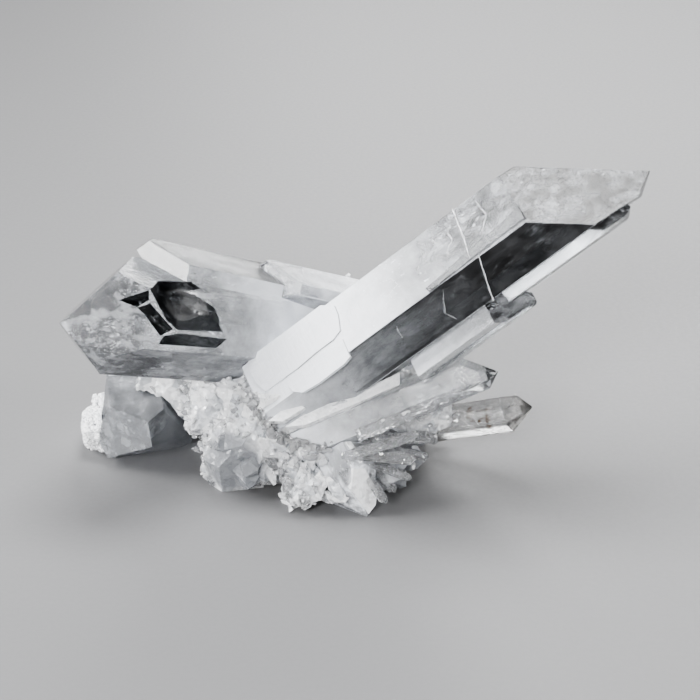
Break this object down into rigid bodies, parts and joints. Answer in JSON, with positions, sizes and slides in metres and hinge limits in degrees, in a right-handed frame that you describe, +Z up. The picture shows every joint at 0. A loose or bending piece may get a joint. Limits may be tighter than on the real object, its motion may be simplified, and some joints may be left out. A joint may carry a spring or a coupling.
{
  "type": "quartz crystal cluster",
  "caption": "Cluster of clear quartz crystals grown together on a milky, druse-covered base, with one large crystal rising to the right.",
  "frame": {"origin": "middle of the cluster's footprint, on the floor it stands on", "axes": "+X to the right as seen in the picture, the way the large crystal rises; +Y away from the viewer; +Z up"},
  "size_m": [0.1472, 0.0644, 0.0854],
  "materials": {
    "clear_quartz": "clear natural crystal faces",
    "milky_quartz": "milky, broken and drusy",
    "iron_stained_quartz": "clear crystal with brown stain in its cracks"
  },
  "bodies": {
    "root": {"main_crystal": "clear_quartz", "left_crystals": "clear_quartz", "front_blade_crystal": "clear_quartz", "rear_crystal": "milky_quartz", "lower_left_crystal": "clear_quartz", "stained_crystal": "iron_stained_quartz", "front_crystal": "clear_quartz", "milky_base": "milky_quartz"}
  },
  "joints": []
}
